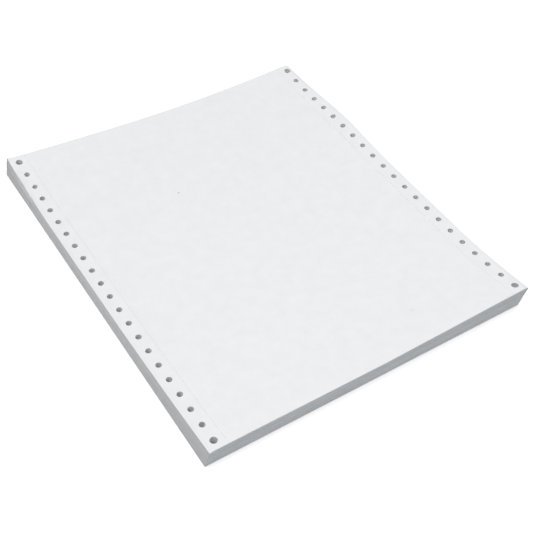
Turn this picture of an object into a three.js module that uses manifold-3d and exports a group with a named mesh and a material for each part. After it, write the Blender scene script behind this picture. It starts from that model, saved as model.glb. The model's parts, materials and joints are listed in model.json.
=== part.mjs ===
import * as THREE from "three";
import { mergeVertices } from "three/addons/utils/BufferGeometryUtils.js";
import Module from "manifold-3d";

// A fanfold pack of continuous carbonless forms, lying flat.
// +X runs across the web, +Y along it, away from the viewer, and +Z up. Millimetres.

// One form between two folds
const formWidth = 241.3;
const formLength = 279.4;
const formCount = 40;

// Sprocket strips down both sides of the web
const holePitch = 12.7;
const holeMargin = 6.35;
const holeBore = 3.97;
const endHoleBore = 4.8;
const stripWidth = 12.7;
const scoreWidth = 0.7;
const scoreDepth = 0.2;

// Folded ends and cut sides
const foldDepth = 0.9;
const edgeGroove = 0.35;

// Height of the pack at its middle and the middle of its sides, and along its two folded ends
const leftHeight = 10.6;
const centreHeight = 10.1;
const rightHeight = 13.2;
const farLeftHeight = 16.0;
const farMiddleHeight = 11.1;
const farRightHeight = 16.2;
const nearLeftHeight = 16.3;
const nearMiddleHeight = 15.7;
const nearRightHeight = 19.9;

// How far from each end the folds lift the sheets
const farLeftReach = 75;
const farRightReach = 50;
const nearLeftReach = 140;
const nearRightReach = 65;

// The sprocket strips droop outside their holes, the right one most at its two corners
const leftDroop = 0.8;
const rightDroop = 0.2;
const farRightDroop = 3.8;
const farDroopReach = 48;
const nearRightDroop = 1.4;
const nearDroopReach = 40;

// A low wave in the right strip, and the upper forms' edges curling up beside it
const swellHeight = 0.7;
const swellReach = 40;
const curlHeight = 2.3;
const curlReach = 34;
const curlPlace = 62;
const curlShare = 0.16;

// The pack leans: its lowest form lies this far from the top one
const leanX = -1.5;
const leanY = 2.0;

// Fineness
const stepsAcross = 8;
const holeClear = 0.3;
const stepsAlong = 12;
const holeFacets = 16;

const levelCount = 2 * formCount;
const halfWidth = formWidth / 2;
const halfLength = formLength / 2;
const rowX = halfWidth - holeMargin;

const wasm = await Module();
wasm.setup();

function mix(from, to, share) {
  return from + (to - from) * share;
}

// Share of an end's lift that is left at a distance from that end.
function liftShare(distance, reach) {
  return Math.max(0, 1 - distance / reach) ** 2;
}

// A smooth hump: 1 in its middle and next to nothing at twice its reach.
function hump(distance, reach) {
  return Math.exp(-((distance / reach) ** 2));
}

// How far out a point lies on its sprocket strip: 0 at the score line, 1 at the edge.
function outOnStrip(x) {
  return Math.max(0, 1 - (halfWidth - Math.abs(x)) / stripWidth);
}

function droopAt(x, y) {
  const edgeDroop = x < 0 ? leftDroop : rightDroop
    + farRightDroop * liftShare(halfLength - y, farDroopReach)
    + nearRightDroop * liftShare(halfLength + y, nearDroopReach);
  return edgeDroop * outOnStrip(x) ** 4;
}

// Height of the pack over a point of the web, in the top form's own place.
function heightAt(x, y) {
  const across = x / halfWidth;
  const isLeft = across < 0;
  const side = (across + 1) / 2;
  const middle = mix(centreHeight, isLeft ? leftHeight : rightHeight, across ** 2);
  const farCorner = isLeft ? farLeftHeight : farRightHeight;
  const farEdge = mix(farMiddleHeight, farCorner, across ** 2);
  const nearCorner = isLeft ? nearLeftHeight : nearRightHeight;
  const nearEdge = mix(nearMiddleHeight, nearCorner, Math.abs(across) ** 1.1);
  const farReach = mix(farLeftReach, farRightReach, side);
  const nearReach = mix(nearLeftReach, nearRightReach, side);
  const swell = isLeft ? 0 : swellHeight * hump(y - curlPlace, swellReach) * across ** 2;
  return middle
    + (farEdge - middle) * liftShare(halfLength - y, farReach)
    + (nearEdge - middle) * liftShare(halfLength + y, nearReach)
    + swell - droopAt(x, y);
}

// How much higher than their share of the pack the upper forms stand along the right edge.
function curlAt(x, y, rise) {
  const nearTop = Math.max(0, 1 - (1 - rise) / curlShare) ** 1.5;
  return x < 0 ? 0 : curlHeight * hump(y - curlPlace, curlReach) * nearTop * outOnStrip(x) ** 2;
}

// A point of the pack: its place on the web and how far up the pack it lies, 0 to 1.
function packPoint(x, y, rise) {
  return new THREE.Vector3(
    x + leanX * (0.5 - rise),
    y + leanY * (0.5 - rise),
    heightAt(x, y) * rise + curlAt(x, y, rise),
  );
}

// Levels run up the pack, two to a form: even ones lie between forms, odd ones in a form's middle.
function isOuterFace(level) {
  return level === 0 || level === levelCount;
}

// Cut edges: a fine groove between one form and the next.
function sideInset(level) {
  return level % 2 === 0 && !isOuterFace(level) ? edgeGroove : 0;
}

// Folded ends: each fold wraps two forms in one round nose, with a notch to the next fold.
// The near folds join forms 1-2, 3-4 and so on, the far ones 2-3, 4-5, with a loose end at top and bottom.
function foldInset(level, firstFold) {
  const lastFold = firstFold + 4 * Math.floor((levelCount - firstFold) / 4);
  if (level < firstFold || level > lastFold) return 0;
  return foldDepth * (1 - Math.abs(Math.sin((Math.PI * (level - firstFold)) / 4)));
}

function evenSteps(from, to, count) {
  return Array.from({ length: count + 1 }, (_, i) => mix(from, to, i / count));
}

function holesPerSide() {
  return Math.floor(formLength / holePitch);
}

// Rows of points along the web lie midway between holes and close up towards the folds.
function stationsAlong() {
  const halfPitches = holesPerSide() / 2;
  const ys = evenSteps(-1, 1, stepsAlong).map((place) => {
    const fromEnd = Math.round(halfPitches * (1 - Math.abs(place)) ** 1.5);
    const y = fromEnd === 0 ? halfLength : (halfPitches - fromEnd) * holePitch;
    return Math.sign(place) * y;
  });
  return [...new Set(ys)];
}

// Across the pack, besides the even steps, a row of points runs outside each row of holes,
// where the strips begin to droop.
function plainStationsAcross() {
  const outside = rowX + endHoleBore / 2 + holeClear;
  const places = [...evenSteps(-halfWidth, halfWidth, stepsAcross), -outside, outside];
  return places.sort((one, other) => one - other).map((x) => ({ x, drop: 0 }));
}

// Across the top form there is one inside the holes too, and three draw the V of each score line.
function topStationsAcross() {
  const scoreLine = halfWidth - stripWidth;
  const inside = rowX - endHoleBore / 2 - holeClear;
  const stations = plainStationsAcross();
  for (const side of [-1, 1]) {
    stations.push({ x: side * inside, drop: 0 });
    stations.push({ x: side * scoreLine - scoreWidth / 2, drop: 0 });
    stations.push({ x: side * scoreLine, drop: scoreDepth });
    stations.push({ x: side * scoreLine + scoreWidth / 2, drop: 0 });
  }
  return stations.sort((one, other) => one.x - other.x);
}

// The folded web as one closed skin: two cut sides, two folded ends, top and bottom form.
function foldedPack() {
  const plainStations = plainStationsAcross();
  const topStations = topStationsAcross();
  const ys = stationsAlong();
  const lastRow = ys.length - 1;
  const positions = [];
  const indices = [];
  const known = new Map();

  function vertex(level, station, row) {
    const key = `${level},${station.x},${row}`;
    if (!known.has(key)) {
      let x = station.x;
      let y = ys[row];
      if (x === -halfWidth) x += sideInset(level);
      if (x === halfWidth) x -= sideInset(level);
      if (row === 0) y += foldInset(level, 0);
      if (row === lastRow) y -= foldInset(level, 2);
      const point = packPoint(x, y, level / levelCount);
      known.set(key, positions.length / 3);
      positions.push(point.x, point.y, point.z - station.drop);
    }
    return known.get(key);
  }

  function stationsOf(level) {
    return level === levelCount ? topStations : plainStations;
  }

  // Triangles between two rows of points that start and end at the same x.
  function stitch(lower, upper, pointBelow, pointAbove, flipped) {
    let i = 0;
    let j = 0;
    while (i < lower.length - 1 || j < upper.length - 1) {
      const nextBelow = i < lower.length - 1 ? lower[i + 1].x : Infinity;
      const nextAbove = j < upper.length - 1 ? upper[j + 1].x : Infinity;
      const corners = [pointBelow(lower[i]), pointAbove(upper[j])];
      if (nextBelow <= nextAbove) corners.splice(1, 0, pointBelow(lower[++i]));
      else corners.splice(1, 0, pointAbove(upper[++j]));
      if (flipped) corners.reverse();
      indices.push(...corners);
    }
  }

  for (let level = 0; level < levelCount; level++) {
    for (const row of [0, lastRow]) {
      stitch(
        stationsOf(level), stationsOf(level + 1),
        (station) => vertex(level, station, row),
        (station) => vertex(level + 1, station, row),
        row === lastRow,
      );
    }
    for (const edge of [plainStations[0], plainStations[plainStations.length - 1]]) {
      for (let row = 0; row < lastRow; row++) {
        const corners = [
          vertex(level, edge, row), vertex(level, edge, row + 1),
          vertex(level + 1, edge, row + 1), vertex(level + 1, edge, row),
        ];
        if (edge.x < 0) corners.reverse();
        const [p, q, r, s] = corners;
        indices.push(p, q, r, p, r, s);
      }
    }
  }
  for (const level of [0, levelCount]) {
    for (let row = 0; row < lastRow; row++) {
      stitch(
        stationsOf(level), stationsOf(level),
        (station) => vertex(level, station, row),
        (station) => vertex(level, station, row + 1),
        level === 0,
      );
    }
  }

  return closedSkin(positions, indices);
}

function closedSkin(positions, indices) {
  const geometry = new THREE.BufferGeometry();
  geometry.setAttribute("position", new THREE.Float32BufferAttribute(positions, 3));
  geometry.setIndex(indices);
  return geometry;
}

// One sprocket hole, straight through every form and leaning with the pack.
function holeCutter(x, y, bore) {
  const height = packPoint(x, y, 1).z;
  const overrun = 2;
  const cutter = new THREE.CylinderGeometry(bore / 2, bore / 2, height + 2 * overrun, holeFacets);
  cutter.rotateX(Math.PI / 2);
  cutter.translate(0, 0, height / 2);
  const slantX = -leanX / height;
  const slantY = -leanY / height;
  cutter.applyMatrix4(new THREE.Matrix4().set(
    1, 0, slantX, x + leanX / 2,
    0, 1, slantY, y + leanY / 2,
    0, 0, 1, 0,
    0, 0, 0, 1,
  ));
  return cutter;
}

function holeCutters() {
  const perSide = holesPerSide();
  const firstHole = (-(perSide - 1) * holePitch) / 2;
  const cutters = [];
  for (let i = 0; i < perSide; i++) {
    const bore = i === 0 || i === perSide - 1 ? endHoleBore : holeBore;
    for (const x of [-rowX, rowX]) cutters.push(holeCutter(x, firstHole + i * holePitch, bore));
  }
  return cutters;
}

function toSolid(geometry) {
  const bare = geometry.clone();
  bare.deleteAttribute("normal");
  bare.deleteAttribute("uv");
  const merged = mergeVertices(bare, 1e-4);
  return new wasm.Manifold(new wasm.Mesh({
    numProp: 3,
    vertProperties: new Float32Array(merged.attributes.position.array),
    triVerts: new Uint32Array(merged.index.array),
  }));
}

function toGeometry(solid) {
  const mesh = solid.getMesh();
  const geometry = new THREE.BufferGeometry();
  geometry.setAttribute("position", new THREE.BufferAttribute(mesh.vertProperties, 3));
  geometry.setIndex(new THREE.BufferAttribute(mesh.triVerts, 1));
  geometry.computeVertexNormals();
  return geometry;
}

function formStack() {
  let solid = toSolid(foldedPack());
  for (const cutter of holeCutters()) solid = solid.subtract(toSolid(cutter));
  const paper = new THREE.MeshStandardMaterial({ color: 0xecedef, roughness: 0.85, metalness: 0 });
  const mesh = new THREE.Mesh(toGeometry(solid), paper);
  mesh.name = "form_stack";
  return mesh;
}

const pack = new THREE.Group();
pack.add(formStack());

export default pack;
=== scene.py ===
import json
import math

import bmesh
import bpy
import numpy as np
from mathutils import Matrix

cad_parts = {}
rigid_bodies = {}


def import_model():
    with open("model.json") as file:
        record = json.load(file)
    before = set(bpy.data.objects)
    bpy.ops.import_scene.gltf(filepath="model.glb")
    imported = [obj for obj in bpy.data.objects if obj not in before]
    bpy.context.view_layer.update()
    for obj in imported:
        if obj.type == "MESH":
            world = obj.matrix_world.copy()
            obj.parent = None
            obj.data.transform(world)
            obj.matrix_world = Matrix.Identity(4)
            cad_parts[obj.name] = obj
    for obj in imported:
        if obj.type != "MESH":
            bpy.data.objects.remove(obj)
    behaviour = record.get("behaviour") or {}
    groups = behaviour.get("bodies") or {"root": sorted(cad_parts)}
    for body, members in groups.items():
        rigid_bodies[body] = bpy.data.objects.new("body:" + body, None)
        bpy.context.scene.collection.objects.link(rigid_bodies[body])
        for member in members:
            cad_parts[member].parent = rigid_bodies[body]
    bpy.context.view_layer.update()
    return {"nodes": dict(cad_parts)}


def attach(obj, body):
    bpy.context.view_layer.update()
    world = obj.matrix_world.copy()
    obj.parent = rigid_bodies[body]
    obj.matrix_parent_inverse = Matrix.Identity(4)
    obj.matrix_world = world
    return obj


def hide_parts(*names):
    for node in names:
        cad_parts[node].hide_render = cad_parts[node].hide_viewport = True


# A fanfold pack of continuous forms, in the frame of its CAD model
bpy.ops.object.select_all(action="SELECT")
bpy.ops.object.delete()
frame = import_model()
print("Loaded", *frame["nodes"])
mm = 0.001

# The form between two folds, and the pack of them
form = {
    "width": 241.3 * mm,
    "length": 279.4 * mm,
    "count": 40,
    "pitch": 0.3 * mm,  # from form to form before the pack takes its real height
    "thickness": 0.27 * mm,
    "stripWidth": 12.7 * mm,
    "columns": 8,  # steps across and along the web, in the forms below the top one
    "rows": 22,
    "bendLines": (3.65 * mm,),  # more points this far in from the cut edges, where strips droop
    "foldSteps": 6,
    "smoothUnder": 40,  # degrees
}

holes = {
    "pitch": 12.7 * mm,
    "margin": 6.35 * mm,  # from the cut edge to the middle of a hole
    "perSide": 22,
    "bore": 3.97 * mm,
    "endBore": 4.8 * mm,
    "facets": 16,
    "topFacets": 32,
    "cutDepth": 1.6 * mm,  # height of the cutters, well through one form
}

halfWidth = form["width"] / 2
halfLength = form["length"] / 2
tearX = halfWidth - form["stripWidth"]  # where the strips tear off
foldRadius = (form["pitch"] + form["thickness"]) / 2
panelHalf = halfLength - foldRadius  # flat part of a form, short of its folds
touch = 0.01 * mm  # places closer than this count as the same
weld = 0.001 * mm  # points closer than this become one
facing = 0.9  # a face looks along an axis when this much of its normal does


def pickOnly(piece):
    bpy.ops.object.select_all(action="DESELECT")
    piece.select_set(True)
    bpy.context.view_layer.objects.active = piece


def startEdit(piece):
    pickOnly(piece)
    bpy.ops.object.mode_set(mode="EDIT")
    bpy.ops.mesh.select_mode(type="FACE")


def endEdit():
    bpy.ops.object.mode_set(mode="OBJECT")


def selectFaces(piece, isWanted):
    bpy.ops.mesh.select_all(action="DESELECT")
    shape = bmesh.from_edit_mesh(piece.data)
    for face in shape.faces:
        face.select_set(isWanted(face))
    bmesh.update_edit_mesh(piece.data)


# Puts an object's place, turn and size into its mesh
def settle(piece):
    pickOnly(piece)
    bpy.ops.object.transform_apply(location=True, rotation=True, scale=True)


def applyModifiers(piece):
    pickOnly(piece)
    for modifier in list(piece.modifiers):
        bpy.ops.object.modifier_apply(modifier=modifier.name)


def copyPiece(piece, name):
    pickOnly(piece)
    bpy.ops.object.duplicate(linked=False)
    made = bpy.context.active_object
    made.name = name
    return made


def joinPieces(main, others):
    pickOnly(main)
    for other in others:
        other.select_set(True)
    bpy.ops.object.join()
    return main


def addArray(piece, count, offset):
    modifier = piece.modifiers.new("row", "ARRAY")
    modifier.count = count
    modifier.use_relative_offset = False
    modifier.use_constant_offset = True
    modifier.constant_offset_displace = offset


# Cutters for both rows of holes, as one object: the inner holes first, then the end ones
def holeCutter(facets, level):
    rowX = halfWidth - holes["margin"]
    firstY = -(holes["perSide"] - 1) * holes["pitch"] / 2
    cutters = []
    for bore, startY, count, step in (
        (holes["bore"], firstY + holes["pitch"], holes["perSide"] - 2, holes["pitch"]),
        (holes["endBore"], firstY, 2, -2 * firstY),
    ):
        bpy.ops.mesh.primitive_cylinder_add(
            vertices=facets, radius=bore / 2, depth=holes["cutDepth"],
            location=(-rowX, startY, level),
        )
        cutter = bpy.context.active_object
        settle(cutter)
        addArray(cutter, count, (0, step, 0))
        addArray(cutter, 2, (2 * rowX, 0, 0))
        applyModifiers(cutter)
        cutters.append(cutter)
    return joinPieces(cutters[0], cutters[1:])


def cutWith(piece, cutter):
    modifier = piece.modifiers.new("cut", "BOOLEAN")
    modifier.operation = "DIFFERENCE"
    modifier.solver = "EXACT"
    modifier.object = cutter
    applyModifiers(piece)
    bpy.data.objects.remove(cutter)


# One flat form with its sprocket holes, as a thin slab at a level of the pack
def flatForm(name, level, columns, rows, extraLines, facets):
    bpy.ops.mesh.primitive_grid_add(
        x_subdivisions=columns, y_subdivisions=rows, size=1,
        location=(0, 0, level - form["thickness"] / 2),
    )
    piece = bpy.context.active_object
    piece.name = name
    piece.scale = (form["width"], 2 * panelHalf, 1)
    settle(piece)
    startEdit(piece)
    for lineX in extraLines:
        for side in (-1, 1):
            bpy.ops.mesh.select_all(action="SELECT")
            bpy.ops.mesh.bisect(plane_co=(side * lineX, 0, 0), plane_no=(1, 0, 0))
    bpy.ops.mesh.select_all(action="SELECT")
    bpy.ops.mesh.extrude_region_move(
        TRANSFORM_OT_translate={"value": (0, 0, form["thickness"])}
    )
    bpy.ops.mesh.select_all(action="SELECT")
    bpy.ops.mesh.normals_make_consistent(inside=False)
    endEdit()
    cutWith(piece, holeCutter(facets, level))
    return piece


def isEndFace(face, side):
    isAtEnd = face.calc_center_median().y * side > panelHalf - touch
    return face.normal.y * side > facing and isAtEnd


# A fold: the end of a form is spun over to the level of the next form, up or down
def spinFold(piece, side, level, upOrDown, isCapped=False):
    halfPitch = form["pitch"] / 2
    startEdit(piece)
    selectFaces(
        piece,
        lambda face: isEndFace(face, side) and abs(face.calc_center_median().z - level) < halfPitch,
    )
    bpy.ops.mesh.spin(
        steps=form["foldSteps"], angle=-side * upOrDown * math.pi,
        center=(0, side * panelHalf, level + upOrDown * halfPitch), axis=(1, 0, 0),
    )
    if not isCapped:
        bpy.ops.mesh.delete(type="FACE")
    endEdit()


def openEnd(piece, side):
    startEdit(piece)
    selectFaces(piece, lambda face: isEndFace(face, side))
    bpy.ops.mesh.delete(type="FACE")
    endEdit()


def mergeDoubles(piece):
    startEdit(piece)
    bpy.ops.mesh.select_all(action="SELECT")
    bpy.ops.mesh.remove_doubles(threshold=weld)
    bpy.ops.mesh.select_all(action="DESELECT")
    bpy.ops.mesh.select_mode(type="EDGE")
    bpy.ops.mesh.select_non_manifold()
    bpy.ops.mesh.fill_holes(sides=0)
    bpy.ops.mesh.select_all(action="SELECT")
    bpy.ops.mesh.normals_make_consistent(inside=False)
    endEdit()


def reportShape(piece):
    cubicCm = (10 * mm) ** 3
    shape = bmesh.new()
    shape.from_mesh(piece.data)
    openEdges = sum(1 for edge in shape.edges if not edge.is_manifold)
    volume = shape.calc_volume(signed=True) / cubicCm
    triangles = sum(len(face.verts) - 2 for face in shape.faces)
    shape.free()
    print(f"{piece.name}: {triangles} triangles, {openEdges} open edges, {volume:.1f} cubic cm")


# Middle of a form's thickness in the flat pack, from 0 for the lowest form
def formLevel(index):
    return (index + 0.5) * form["pitch"]


# Slot 0 is a form's flat faces, 1 its cut edges, 2 its folds, 3 the walls of holes and slits
def markFinishes(piece):
    for face in piece.data.polygons:
        outX = abs(face.center.x)
        outY = abs(face.center.y)
        if outY > panelHalf + touch:
            face.material_index = 2
        elif abs(face.normal.z) > facing:
            face.material_index = 0
        elif outX < halfWidth - touch and outY < panelHalf - touch:
            face.material_index = 3
        else:
            face.material_index = 1


# All forms but the top one, still flat: pairs of forms, each folded over at the near
# end and on to the next pair at the far end
def foldedWeb():
    lines = [tearX] + [halfWidth - inward for inward in form["bendLines"]]
    lower = flatForm(
        "forms_below", formLevel(0), form["columns"], form["rows"], lines, holes["facets"]
    )
    upper = copyPiece(lower, "upper_form")
    last = copyPiece(lower, "last_form")
    upper.location.z = form["pitch"]
    last.location.z = (form["count"] - 2) * form["pitch"]
    settle(upper)
    settle(last)
    openEnd(lower, 1)
    spinFold(lower, -1, formLevel(0), 1)
    openEnd(upper, -1)
    spinFold(upper, 1, formLevel(1), 1)
    openEnd(last, 1)
    joinPieces(lower, [upper])
    addArray(lower, form["count"] // 2 - 1, (0, 0, 2 * form["pitch"]))
    applyModifiers(lower)
    joinPieces(lower, [last])
    mergeDoubles(lower)
    return lower


# The top form is seen best, so it has finer steps, rounder holes and the slits and crease
# of its two tear lines
topForm = {
    "columns": 24,
    "rows": 44,
    "bendLines": (1.0 * mm, 2.2 * mm, 3.65 * mm, 9.05 * mm),
    "slitPitch": 3.175 * mm,
    "slitLength": 2.0 * mm,
    "slitWidth": 0.11 * mm,
    "creaseHalf": 0.5 * mm,
    "creaseDepth": 0.045 * mm,
    "creaseBelow": 0.7,  # how far under the form's middle the crease runs into its fold, in forms
}


def slitCutter(level):
    count = round(form["length"] / topForm["slitPitch"])
    firstY = -(count - 1) * topForm["slitPitch"] / 2
    bpy.ops.mesh.primitive_cube_add(size=1, location=(-tearX, firstY, level))
    cutter = bpy.context.active_object
    cutter.scale = (topForm["slitWidth"], topForm["slitLength"], holes["cutDepth"])
    settle(cutter)
    addArray(cutter, count, (0, topForm["slitPitch"], 0))
    addArray(cutter, 2, (2 * tearX, 0, 0))
    applyModifiers(cutter)
    return cutter


def topSheet():
    level = formLevel(form["count"] - 1)
    lines = [tearX + step * topForm["creaseHalf"] for step in (-1, 0, 1)]
    lines += [halfWidth - inward for inward in topForm["bendLines"]]
    sheet = flatForm(
        "top_form", level, topForm["columns"], topForm["rows"], lines, holes["topFacets"]
    )
    cutWith(sheet, slitCutter(level))
    spinFold(sheet, -1, level, -1, isCapped=True)
    return sheet


# Height of the pack in its middle, at the middle of its sides and along its two folded ends,
# and how far from each end the rise reaches
rise = {
    "left": 10.6 * mm,
    "centre": 10.1 * mm,
    "right": 13.2 * mm,
    "farLeft": 16.0 * mm,
    "farMiddle": 11.1 * mm,
    "farRight": 16.9 * mm,
    "nearLeft": 16.3 * mm,
    "nearMiddle": 15.7 * mm,
    "nearRight": 19.9 * mm,
    "farLeftPower": 1.6,  # the higher, the more of the rise is close to the corner
    "farRightPower": 2.2,
    "nearPower": 1.1,
    "farLeftReach": 75 * mm,
    "farRightReach": 46 * mm,
    "nearLeftReach": 140 * mm,
    "nearRightReach": 65 * mm,
    "swell": 0.7 * mm,  # a low wave along the right side
    "swellPlace": 62 * mm,
    "swellReach": 40 * mm,
    "leanX": -1.5 * mm,  # from the top form to the bottom one
    "leanY": 2.0 * mm,
}

# How far the outer edges of the two strips droop below their hole rows
droop = {
    "power": 6,  # most of it is close to the edge
    "left": 0.8 * mm,
    "farLeftLift": 1.7 * mm,  # the far left corner stands up instead
    "farLeftReach": 24 * mm,
    "right": 0.2 * mm,
    "farRight": 4.6 * mm,
    "farReach": 48 * mm,
    "nearRight": 1.4 * mm,
    "nearReach": 40 * mm,
}

# The upper forms curl up along the right edge, and down and inward at the far left
curl = {
    "topShare": 0.16,  # how much of the pack takes part
    "topPower": 1.5,
    "edgePower": 2,
    "rightLift": 2.3 * mm,
    "rightPlace": 62 * mm,
    "rightReach": 34 * mm,
    "rightPeek": 0.8 * mm,  # the form under the top one shows along the right edge
    "peekPlace": 84 * mm,
    "peekReach": 24 * mm,
    "peekShare": 0.962,  # where in the pack that form lies
    "peekDepth": 0.02,
    "leftTuck": 1.3 * mm,
    "leftDrop": 1.6 * mm,
    "leftShare": 0.35,  # the tuck goes deeper into the pack than the curl
    "leftPlace": 112 * mm,
    "leftReach": 12 * mm,
}

# How far single forms have slipped in the pack
slip = {
    "seed": 11,
    "sideways": 0.10 * mm,
    "nearFold": 0.07 * mm,
    "farFold": 0.11 * mm,
}


# From start at 0 to end at 1
def mix(start, end, share):
    return start + (end - start) * share


# 1 at an end of the pack, and down to 0 over the reach
def liftShare(distance, reach):
    return np.clip(1 - distance / reach, 0, None) ** 2


# 1 at a place, and down to nothing on both sides of it
def bell(distance, reach):
    return np.exp(-((distance / reach) ** 2))


# How far out a point lies on its sprocket strip, 0 at the tear line and 1 at the edge
def outOnStrip(x):
    return np.clip((np.abs(x) - tearX) / form["stripWidth"], 0, 1)


# Height of the top of the pack over a point of the web
def heightAt(x, y):
    across = x / halfWidth
    isLeft = across < 0
    middle = mix(rise["centre"], np.where(isLeft, rise["left"], rise["right"]), across ** 2)
    fromFar = halfLength - y
    fromNear = halfLength + y
    farCorner = np.where(isLeft, rise["farLeft"], rise["farRight"])
    nearCorner = np.where(isLeft, rise["nearLeft"], rise["nearRight"])
    farPower = np.where(isLeft, rise["farLeftPower"], rise["farRightPower"])
    farEdge = mix(rise["farMiddle"], farCorner, np.abs(across) ** farPower)
    nearEdge = mix(rise["nearMiddle"], nearCorner, np.abs(across) ** rise["nearPower"])
    side = (across + 1) / 2
    farReach = mix(rise["farLeftReach"], rise["farRightReach"], side)
    nearReach = mix(rise["nearLeftReach"], rise["nearRightReach"], side)
    swell = rise["swell"] * bell(y - rise["swellPlace"], rise["swellReach"])
    rightDroop = (
        droop["right"]
        + droop["farRight"] * liftShare(fromFar, droop["farReach"])
        + droop["nearRight"] * liftShare(fromNear, droop["nearReach"])
    )
    leftDroop = droop["left"] - droop["farLeftLift"] * liftShare(fromFar, droop["farLeftReach"])
    return (
        middle
        + (farEdge - middle) * liftShare(fromFar, farReach)
        + (nearEdge - middle) * liftShare(fromNear, nearReach)
        + swell * np.clip(across, 0, 1) ** 2
        - np.where(isLeft, leftDroop, rightDroop) * outOnStrip(x) ** droop["power"]
    )


# What the upper forms do besides: how much higher, and how much further to the right.
# The share is 0 at the bottom of the pack and 1 at its top.
def curlAt(x, y, share):
    outer = outOnStrip(x) ** curl["edgePower"]
    nearTop = np.clip(1 - (1 - share) / curl["topShare"], 0, 1) ** curl["topPower"]
    lift = curl["rightLift"] * bell(y - curl["rightPlace"], curl["rightReach"])
    nearTopLeft = np.clip(1 - (1 - share) / curl["leftShare"], 0, 1)
    tuck = bell(y - curl["leftPlace"], curl["leftReach"]) * nearTopLeft
    isLeft = x < 0
    higher = np.where(isLeft, -curl["leftDrop"] * tuck * nearTop, lift * nearTop) * outer
    peek = bell(y - curl["peekPlace"], curl["peekReach"])
    peek = peek * bell(share - curl["peekShare"], curl["peekDepth"])
    further = np.where(isLeft, curl["leftTuck"] * tuck, curl["rightPeek"] * peek) * outer
    return higher, further


def readPoints(piece):
    points = np.empty(len(piece.data.vertices) * 3, np.float32)
    piece.data.vertices.foreach_get("co", points)
    return points.reshape(-1, 3).astype(float)


def writePoints(piece, points):
    piece.data.vertices.foreach_set("co", points.astype(np.float32).ravel())
    piece.data.update()


# Lays the flat forms down as the pack lies: warped, leaning, each form a little off the next
def layDown(piece):
    x, y, z = readPoints(piece).T
    lowest = formLevel(0) - form["thickness"] / 2
    highest = formLevel(form["count"] - 1) + form["thickness"] / 2
    share = (z - lowest) / (highest - lowest)
    index = z / form["pitch"] - 0.5  # 0 in the lowest form
    order = np.arange(form["count"])
    draw = np.random.default_rng(slip["seed"])
    sideways = draw.normal(0, slip["sideways"], form["count"])
    nearFold = draw.normal(0, slip["nearFold"], form["count"])[order // 2]
    farFold = draw.normal(0, slip["farFold"], form["count"])[(order + 1) // 2]
    sideways[-1] = nearFold[-2:] = farFold[-1] = 0
    along = y / form["length"] + 0.5
    higher, further = curlAt(x, y, share)
    height = heightAt(x, y) * share + higher
    crease = np.clip(1 - np.abs(np.abs(x) - tearX) / topForm["creaseHalf"], 0, 1)
    isTop = index > form["count"] - 1 - topForm["creaseBelow"]
    height -= topForm["creaseDepth"] * crease * isTop
    newX = x + further + np.interp(index, order, sideways) + rise["leanX"] * (0.5 - share)
    newY = y + mix(np.interp(index, order, nearFold), np.interp(index, order, farFold), along)
    newY += rise["leanY"] * (0.5 - share)
    writePoints(piece, np.column_stack([newX, newY, height]))
    pickOnly(piece)
    bpy.ops.object.shade_smooth_by_angle(angle=math.radians(form["smoothUnder"]))


# Colour and tooth of the paper, with painted shade and light: the cut edges and the folded ends are
# darker than the face for the shade between plies, and the walls of holes and slits lighter than it
# for the light inside them
paper = {
    "face": (0.835, 0.845, 0.862),
    # painted shade: the cut edges and the folded ends are darker than the face, for the shade
    # between the plies
    "cutEdgeShaded": (0.781, 0.797, 0.823),
    "fold": (0.765, 0.793, 0.823),
    # painted light: the walls of holes and slits are lighter than the face, for the light inside
    # them
    "holeWallLit": (0.86, 0.863, 0.872),
    "roughness": 0.82,
    "specular": 0.25,
    "noiseDetail": 4,
    "noiseRoughness": 0.6,
    "cloudSize": 8 * mm,
    "cloudDepth": 0.09,
    "fibreSize": 0.5 * mm,
    "fibreDetail": 3,
    "fibreHeight": 0.01 * mm,
    "shadeStreakSize": 0.7 * mm,  # painted light and shade: streaks of sheets that catch the light alike, seen on the sides
    "shadeStreakLength": 60 * mm,
    "cutShadeStreaks": 0.35,  # how much the painted streaks show on the cut edges, and on the folds
    "foldShadeStreaks": 0.45,
    "speckSize": 0.8 * mm,
    "specks": ((-28.5 * mm, 55.2 * mm, 0.7), (45.5 * mm, -114.6 * mm, 0.25)),  # place and depth
}


def addNode(tree, kind, **settings):
    node = tree.nodes.new(kind)
    for key, value in settings.items():
        setattr(node, key, value)
    return node


# A noise whose middle value is 1: cloudy, or drawn out along the sheets as painted light and shade
def addTone(group, place, size, length, depth):
    stretch = addNode(group, "ShaderNodeVectorMath", operation="DIVIDE")
    stretch.inputs[1].default_value = (length, length, size)
    noise = addNode(group, "ShaderNodeTexNoise")
    noise.inputs["Scale"].default_value = 1
    noise.inputs["Detail"].default_value = paper["noiseDetail"]
    noise.inputs["Roughness"].default_value = paper["noiseRoughness"]
    centred = addNode(group, "ShaderNodeMath", operation="SUBTRACT")
    centred.inputs[1].default_value = 0.5
    scaled = addNode(group, "ShaderNodeMath", operation="MULTIPLY_ADD")
    scaled.inputs[2].default_value = 1
    group.links.new(place, stretch.inputs[0])
    group.links.new(stretch.outputs[0], noise.inputs["Vector"])
    group.links.new(noise.outputs["Fac"], centred.inputs[0])
    group.links.new(centred.outputs[0], scaled.inputs[0])
    group.links.new(depth, scaled.inputs[1])
    return scaled.outputs[0]
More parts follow.
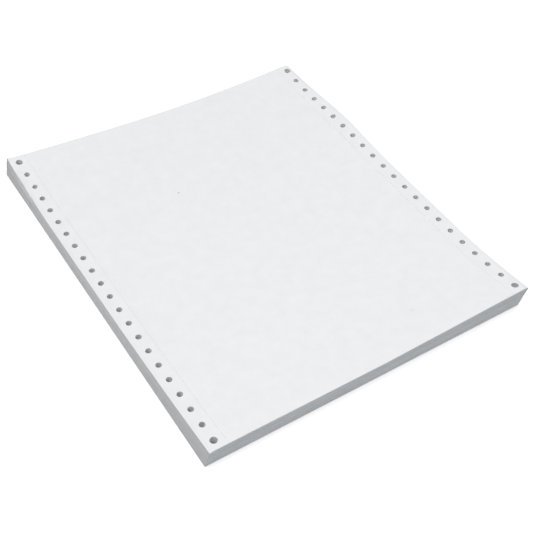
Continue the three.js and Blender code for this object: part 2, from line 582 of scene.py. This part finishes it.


# Cloudy look of paper, painted light and shade in streaks along its sheets seen edge on, and the
# fine tooth of its surface
def paperGroup():
    group = bpy.data.node_groups.new("paperFormationAndSheetShade", "ShaderNodeTree")
    for name, way, kind in (
        ("Tone", "INPUT", "Color"),
        ("Cloud", "INPUT", "Float"),
        ("SheetShade", "INPUT", "Float"),
        ("Tone", "OUTPUT", "Color"),
        ("Tooth", "OUTPUT", "Float"),
    ):
        group.interface.new_socket(name=name, in_out=way, socket_type="NodeSocket" + kind)
    start = addNode(group, "NodeGroupInput")
    end = addNode(group, "NodeGroupOutput")
    place = addNode(group, "ShaderNodeTexCoord").outputs["Object"]
    cloudSize = paper["cloudSize"]
    cloud = addTone(group, place, cloudSize, cloudSize, start.outputs["Cloud"])
    paintedStreaks = addTone(
        group, place, paper["shadeStreakSize"], paper["shadeStreakLength"], start.outputs["SheetShade"]
    )
    both = addNode(group, "ShaderNodeMath", operation="MULTIPLY")
    tinted = addNode(group, "ShaderNodeVectorMath", operation="SCALE")
    fibre = addNode(group, "ShaderNodeTexNoise")
    fibre.inputs["Scale"].default_value = 1 / paper["fibreSize"]
    fibre.inputs["Detail"].default_value = paper["fibreDetail"]
    links = group.links
    links.new(cloud, both.inputs[0])
    links.new(paintedStreaks, both.inputs[1])
    links.new(start.outputs["Tone"], tinted.inputs[0])
    links.new(both.outputs[0], tinted.inputs["Scale"])
    links.new(tinted.outputs[0], end.inputs["Tone"])
    links.new(place, fibre.inputs["Vector"])
    links.new(fibre.outputs["Fac"], end.inputs["Tooth"])
    return group


# Two specks of dust on the top form
def addSpecks(tree, tone):
    place = addNode(tree, "ShaderNodeTexCoord").outputs["Object"]
    flat = addNode(tree, "ShaderNodeVectorMath", operation="MULTIPLY")
    flat.inputs[1].default_value = (1, 1, 0)
    tree.links.new(place, flat.inputs[0])
    for x, y, depth in paper["specks"]:
        far = addNode(tree, "ShaderNodeVectorMath", operation="DISTANCE")
        far.inputs[1].default_value = (x, y, 0)
        spot = addNode(tree, "ShaderNodeMapRange")
        spot.inputs["From Max"].default_value = paper["speckSize"]
        spot.inputs["To Min"].default_value = 1 - depth
        spot.inputs["To Max"].default_value = 1
        darker = addNode(tree, "ShaderNodeVectorMath", operation="SCALE")
        tree.links.new(flat.outputs[0], far.inputs[0])
        tree.links.new(far.outputs["Value"], spot.inputs["Value"])
        tree.links.new(tone, darker.inputs[0])
        tree.links.new(spot.outputs["Result"], darker.inputs["Scale"])
        tone = darker.outputs[0]
    return tone


def paperMaterial(name, group, tone, shadeStreakDepth, hasSpecks=False):
    material = bpy.data.materials.new(name)
    material.use_nodes = True
    tree = material.node_tree
    shader = tree.nodes["Principled BSDF"]
    shader.inputs["Roughness"].default_value = paper["roughness"]
    shader.inputs["Specular IOR Level"].default_value = paper["specular"]
    formationAndShade = addNode(tree, "ShaderNodeGroup", node_tree=group)
    formationAndShade.inputs["Tone"].default_value = (*tone, 1)
    formationAndShade.inputs["Cloud"].default_value = paper["cloudDepth"]
    # painted light and shade in streaks along the sheets
    formationAndShade.inputs["SheetShade"].default_value = shadeStreakDepth
    bump = addNode(tree, "ShaderNodeBump")
    bump.inputs["Strength"].default_value = 1
    bump.inputs["Distance"].default_value = paper["fibreHeight"]
    colour = formationAndShade.outputs["Tone"]
    if hasSpecks:
        colour = addSpecks(tree, colour)
    tree.links.new(colour, shader.inputs["Base Color"])
    tree.links.new(formationAndShade.outputs["Tooth"], bump.inputs["Height"])
    tree.links.new(bump.outputs["Normal"], shader.inputs["Normal"])
    return material


def dressPaper(web, sheet):
    group = paperGroup()
    face = paperMaterial("sheetFace", group, paper["face"], 0)
    topFace = paperMaterial("topFace", group, paper["face"], 0, hasSpecks=True)
    # painted shade on the cut edges and the folded ends
    edge = paperMaterial("cutEdgeShaded", group, paper["cutEdgeShaded"], paper["cutShadeStreaks"])
    fold = paperMaterial("foldedEndShaded", group, paper["fold"], paper["foldShadeStreaks"])
    # painted light in the holes and slits
    litWall = paperMaterial("holeWallLit", group, paper["holeWallLit"], paper["cutShadeStreaks"])
    for piece, first in ((web, face), (sheet, topFace)):
        for material in (first, edge, fold, litWall):
            piece.data.materials.append(material)


# Floor, world and lamp, in metres and watts
stage = {
    "floorSize": 6.0,
    "floorDrop": 0.05 * mm,
    "floorBounce": 0.4,  # how pale the floor is to the light that the paper gets from it
    "floorSeen": 0.9,
    "floorLift": 0.35,
    "farLift": 0.75,  # away from the lamp the floor lights itself more, so it stays white
    "liftFrom": 0.3,
    "liftTo": 1.2,
    "worldLight": 0.4,
    "lampPower": 13.5,
    "lampSize": 1.5,
    "lampPlace": (-0.06, -0.16, 1.3),
}


# 1 where a camera, glossy or transmission ray looks, 0 for the light that bounces
def seenMask(tree):
    path = addNode(tree, "ShaderNodeLightPath")
    first = addNode(tree, "ShaderNodeMath", operation="MAXIMUM")
    second = addNode(tree, "ShaderNodeMath", operation="MAXIMUM")
    tree.links.new(path.outputs["Is Camera Ray"], first.inputs[0])
    tree.links.new(path.outputs["Is Glossy Ray"], first.inputs[1])
    tree.links.new(first.outputs[0], second.inputs[0])
    tree.links.new(path.outputs["Is Transmission Ray"], second.inputs[1])
    return second.outputs[0]


def makeFloor():
    bpy.ops.mesh.primitive_plane_add(size=stage["floorSize"], location=(0, 0, -stage["floorDrop"]))
    floor = bpy.context.active_object
    floor.name = "floor"
    material = bpy.data.materials.new("paleFloor")
    material.use_nodes = True
    tree = material.node_tree
    shader = tree.nodes["Principled BSDF"]
    shader.inputs["Roughness"].default_value = 1
    shader.inputs["Specular IOR Level"].default_value = 0
    shader.inputs["Emission Color"].default_value = (1, 1, 1, 1)
    seen = seenMask(tree)
    tone = addNode(tree, "ShaderNodeMapRange")
    tone.inputs["To Min"].default_value = stage["floorBounce"]
    tone.inputs["To Max"].default_value = stage["floorSeen"]
    place = addNode(tree, "ShaderNodeTexCoord")
    away = addNode(tree, "ShaderNodeVectorMath", operation="LENGTH")
    spread = addNode(tree, "ShaderNodeMapRange")
    spread.inputs["From Min"].default_value = stage["liftFrom"]
    spread.inputs["From Max"].default_value = stage["liftTo"]
    spread.inputs["To Min"].default_value = stage["floorLift"]
    spread.inputs["To Max"].default_value = stage["farLift"]
    lift = addNode(tree, "ShaderNodeMath", operation="MULTIPLY")
    tree.links.new(seen, tone.inputs["Value"])
    tree.links.new(place.outputs["Object"], away.inputs[0])
    tree.links.new(away.outputs["Value"], spread.inputs["Value"])
    tree.links.new(seen, lift.inputs[0])
    tree.links.new(spread.outputs["Result"], lift.inputs[1])
    tree.links.new(tone.outputs["Result"], shader.inputs["Base Color"])
    tree.links.new(lift.outputs[0], shader.inputs["Emission Strength"])
    floor.data.materials.append(material)


def makeLight():
    world = bpy.data.worlds.new("studio")
    bpy.context.scene.world = world
    world.use_nodes = True
    tree = world.node_tree
    background = tree.nodes["Background"]
    background.inputs["Color"].default_value = (1, 1, 1, 1)
    strength = addNode(tree, "ShaderNodeMapRange")
    strength.inputs["To Min"].default_value = stage["worldLight"]
    strength.inputs["To Max"].default_value = 1
    tree.links.new(seenMask(tree), strength.inputs["Value"])
    tree.links.new(strength.outputs["Result"], background.inputs["Strength"])
    bpy.ops.object.light_add(type="AREA", location=stage["lampPlace"])
    lamp = bpy.context.active_object
    lamp.data.shape = "DISK"
    lamp.data.size = stage["lampSize"]
    lamp.data.energy = stage["lampPower"]
    aim = -lamp.location
    lamp.rotation_euler = aim.to_track_quat("-Z", "Y").to_euler()


# The photograph's own view, worked out from the places of the sprocket holes
view = {
    "place": (-277.97 * mm, -383.59 * mm, 483.60 * mm),
    "turn": (42.633, -3.864, -33.034),  # degrees
    "lens": 66.1,
    "sensor": 36,
    "nearest": 10 * mm,
    "shiftX": -0.0003,
    "shiftY": 0.0009,
}


def makeCamera():
    bpy.ops.object.camera_add(
        location=view["place"], rotation=[math.radians(angle) for angle in view["turn"]]
    )
    camera = bpy.context.active_object
    camera.data.lens = view["lens"]
    camera.data.sensor_width = view["sensor"]
    camera.data.shift_x = view["shiftX"]
    camera.data.shift_y = view["shiftY"]
    camera.data.clip_start = view["nearest"]
    bpy.context.scene.camera = camera


print("Folding the forms")
web = foldedWeb()
sheet = topSheet()
for piece in (web, sheet):
    markFinishes(piece)
    layDown(piece)
    reportShape(piece)

print("Dressing the paper")
dressPaper(web, sheet)
for piece in (web, sheet):
    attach(piece, "root")
    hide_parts("form_stack")

print("Setting the studio")
makeFloor()
makeLight()
makeCamera()
scene = bpy.context.scene
scene.view_settings.view_transform = "Standard"
